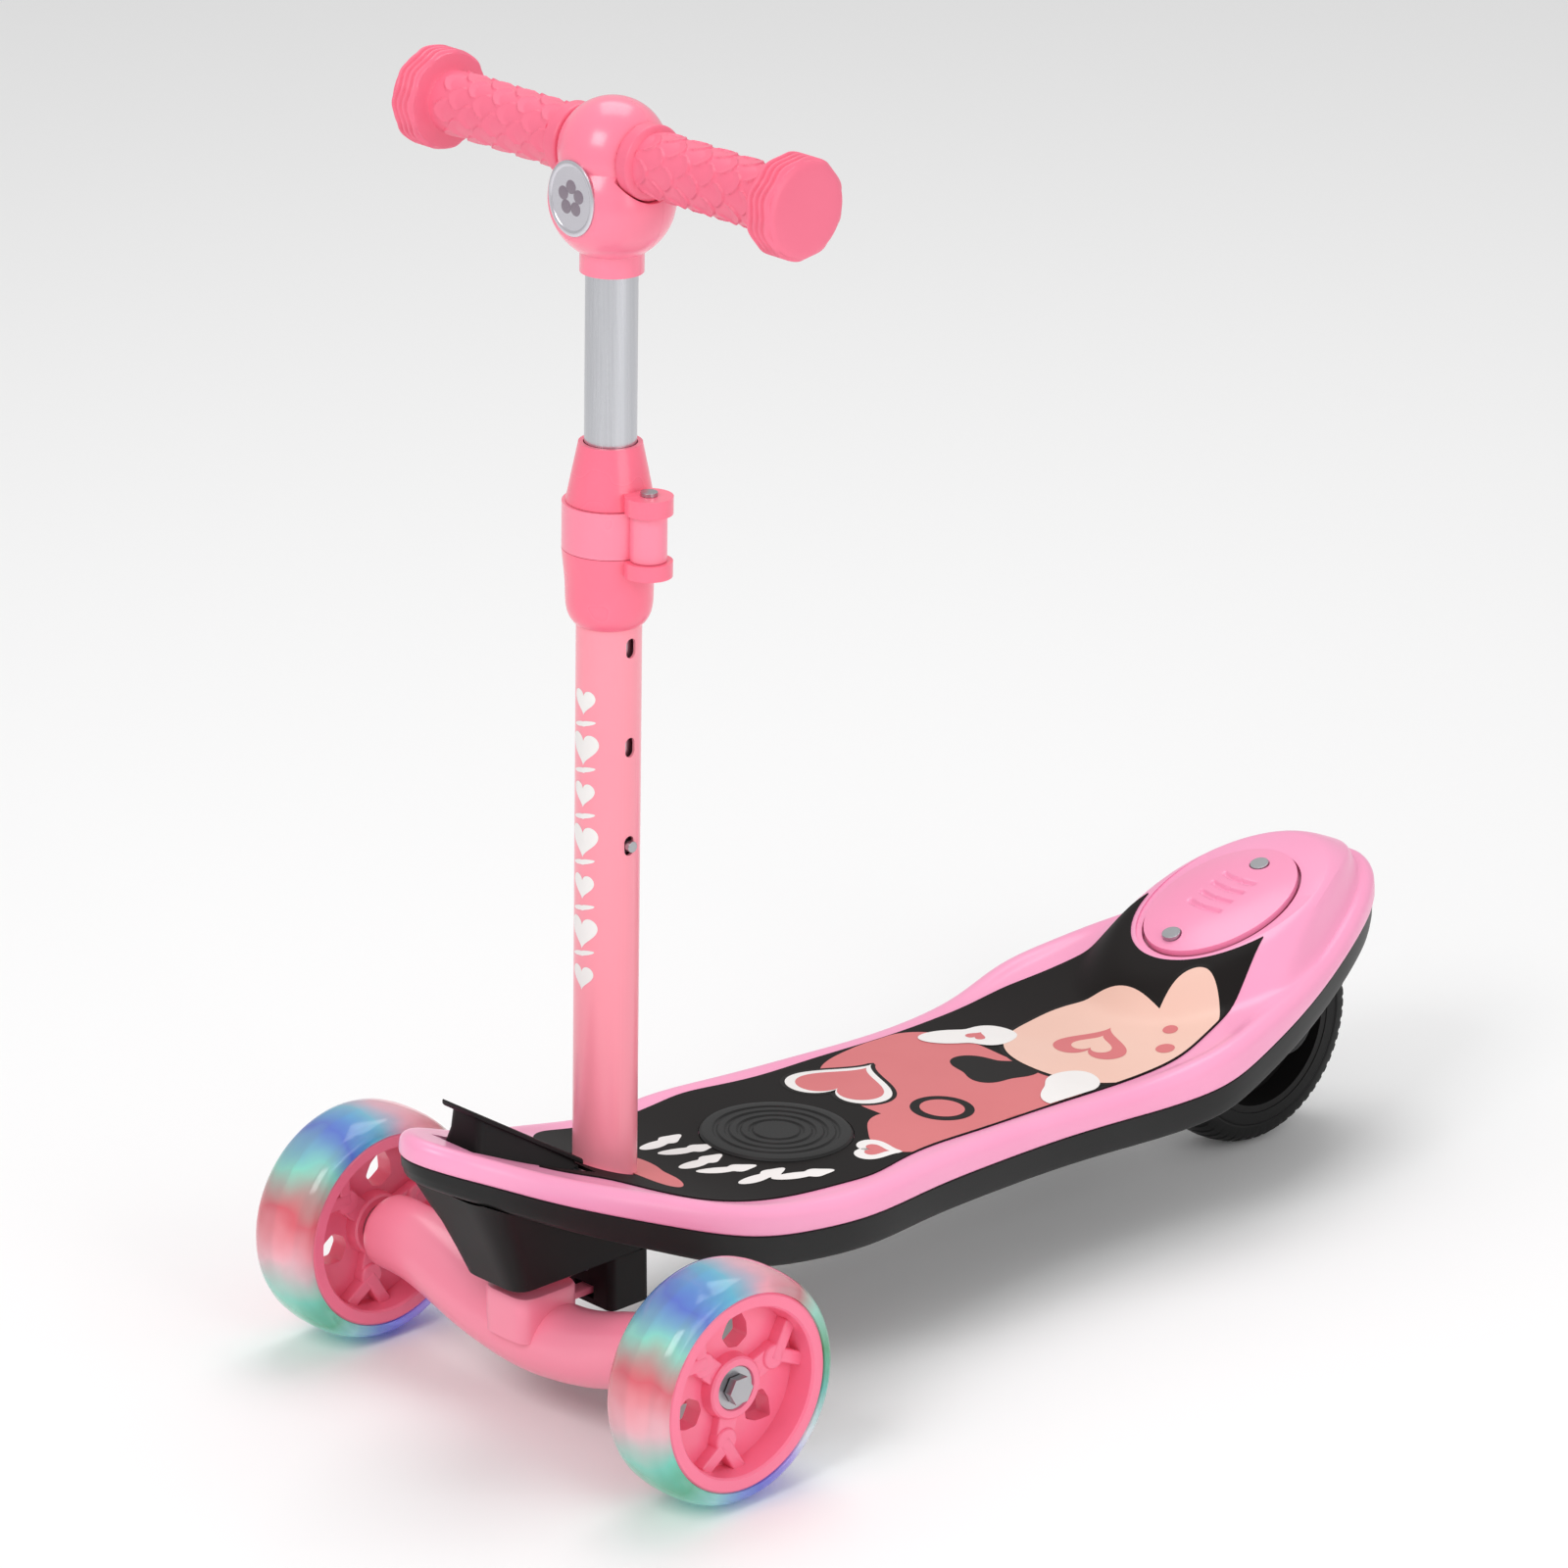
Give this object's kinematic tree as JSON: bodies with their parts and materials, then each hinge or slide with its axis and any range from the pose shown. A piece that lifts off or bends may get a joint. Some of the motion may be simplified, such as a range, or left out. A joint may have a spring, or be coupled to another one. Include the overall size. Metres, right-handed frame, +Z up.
{
  "type": "kick scooter",
  "caption": "Toddler kick scooter: lean-to-steer front truck, kicked deck with foot mat and rear brake pedal, slotted telescopic column with lever clamp and patterned T-bar grips.",
  "frame": {"origin": "on the floor, at the middle of the bounding box in plan, with the wheels on the floor", "axes": "+Z up, -Y the way the rider faces, +X to the rider's left"},
  "size_m": [0.3026, 0.664, 0.6608],
  "materials": {
    "pink_shell": "pale pink moulded plastic with a soft sheen",
    "pink_part": "pink moulded plastic",
    "grip": "soft pink grip compound with a raised pattern",
    "dark_shell": "fine-grained charcoal plastic",
    "dark_part": "black moulded plastic",
    "mat": "printed matt foot mat",
    "clear_tyre": "translucent cast tyre",
    "black_tyre": "black cast tyre",
    "wheel_hub": "pink wheel centre",
    "light": "milky light ring",
    "pink_tube": "aluminium with a pink powder coat",
    "bright_tube": "satin anodised aluminium",
    "steel": "zinc-plated steel",
    "silver_print": "silver badge with a raised motif",
    "rubber": "black rubber",
    "nylon": "natural nylon"
  },
  "bodies": {
    "deck": {"deck_top_shell": "pink_shell", "deck_bottom_shell": "dark_shell", "deck_mat": "mat", "nose_housing": "dark_part", "stem_socket": "steel", "pivot_bracket": "dark_part", "kingpin": "steel", "centring_rubber_left": "rubber", "centring_rubber_right": "rubber", "column_tube": "pink_tube", "clamp_body": "pink_part", "clamp_pin": "steel", "rear_axle": "steel", "rear_axle_nut": "steel", "lever_pivot": "steel", "brake_spring_front": "steel", "brake_spring_rear": "steel", "deck_screw_1": "steel", "deck_screw_2": "steel", "deck_screw_3": "steel", "deck_screw_4": "steel"},
    "front_truck": {"front_axle_beam": "pink_part", "kingpin_bush": "nylon", "axle_bolt_left": "steel", "axle_bolt_right": "steel"},
    "front_wheel_left": {"front_tyre_left": "clear_tyre", "light_ring_left": "light", "front_hub_left": "wheel_hub", "front_bearing_left_a": "steel", "front_bearing_left_b": "steel"},
    "front_wheel_right": {"front_tyre_right": "clear_tyre", "light_ring_right": "light", "front_hub_right": "wheel_hub", "front_bearing_right_a": "steel", "front_bearing_right_b": "steel"},
    "rear_wheel": {"rear_tyre": "black_tyre", "rear_hub": "dark_part", "rear_bearing_left": "steel", "rear_bearing_right": "steel"},
    "handlebar": {"inner_tube": "bright_tube", "tube_guide": "nylon", "button_spring": "steel", "handlebar_tube": "bright_tube", "grip_left": "grip", "grip_right": "grip", "head_front": "pink_part", "head_rear": "pink_part", "badge": "silver_print", "head_screw_left": "steel", "head_screw_right": "steel"},
    "snap_button": {"snap_button": "steel"},
    "clamp_lever": {"clamp_lever": "pink_part"},
    "brake_pedal": {"brake_pedal": "pink_part", "brake_shoe": "rubber", "brake_screw_front": "steel", "brake_screw_rear": "steel"},
    "release_lever": {"release_lever": "dark_part"},
    "latch_pin": {"latch_pin": "steel"},
    "deck_plug": {"deck_plug": "dark_part"}
  },
  "joints": [
    {"name": "steer", "type": "hinge", "parent": "deck", "child": "front_truck", "pos_m": [0, -0.212, 0.066], "axis": [0, -0.8944, 0.4472], "range_deg": [-11, 11], "stiffness_Nm_per_rad": 30, "deforming": ["centring_rubber_left", "centring_rubber_right"]},
    {"name": "front_wheel_left_spin", "type": "hinge", "parent": "front_truck", "child": "front_wheel_left", "pos_m": [0.1313, -0.252, 0.06], "axis": [1, 0, 0], "continuous": true},
    {"name": "front_wheel_right_spin", "type": "hinge", "parent": "front_truck", "child": "front_wheel_right", "pos_m": [-0.1313, -0.252, 0.06], "axis": [1, 0, 0], "continuous": true},
    {"name": "rear_wheel_spin", "type": "hinge", "parent": "deck", "child": "rear_wheel", "pos_m": [0, 0.247, 0.065], "axis": [1, 0, 0], "continuous": true},
    {"name": "handlebar_height", "type": "slide", "parent": "deck", "child": "handlebar", "axis": [0, 0.0209, 0.9998], "range_m": [0, 0.101], "deforming": ["snap_button", "button_spring"]},
    {"name": "snap_button_press", "type": "slide", "parent": "handlebar", "child": "snap_button", "axis": [-1, 0, 0], "range_m": [0, 0.0043], "stiffness_N_per_m": 600, "springref_m": -0.002, "deforming": ["button_spring"]},
    {"name": "clamp_lever_open", "type": "hinge", "parent": "deck", "child": "clamp_lever", "pos_m": [0.0276, -0.20074, 0.45043], "axis": [0, 0.0209, 0.9998], "range_deg": [0, 110]},
    {"name": "brake_press", "type": "slide", "parent": "deck", "child": "brake_pedal", "axis": [0, 0.3074, -0.9516], "range_m": [0, 0.004], "stiffness_N_per_m": 3000, "springref_m": -0.004, "deforming": ["brake_spring_front", "brake_spring_rear"]},
    {"name": "release_lever_press", "type": "hinge", "parent": "deck", "child": "release_lever", "pos_m": [0, -0.236, 0.1268], "axis": [1, 0, 0], "range_deg": [0, 8], "stiffness_Nm_per_rad": 1.5, "springref_deg": -5.73},
    {"name": "latch_pin_draw", "type": "slide", "parent": "deck", "child": "latch_pin", "axis": [0, -1, 0], "range_m": [0, 0.0031]},
    {"name": "deck_plug_lift", "type": "slide", "parent": "deck", "child": "deck_plug", "axis": [0, 0.0349, 0.9994], "range_m": [0, 0.03]}
  ],
  "couplings": [
    {"joint": "latch_pin_draw", "follows": "release_lever_press", "m_per_rad": 0.02077}
  ]
}
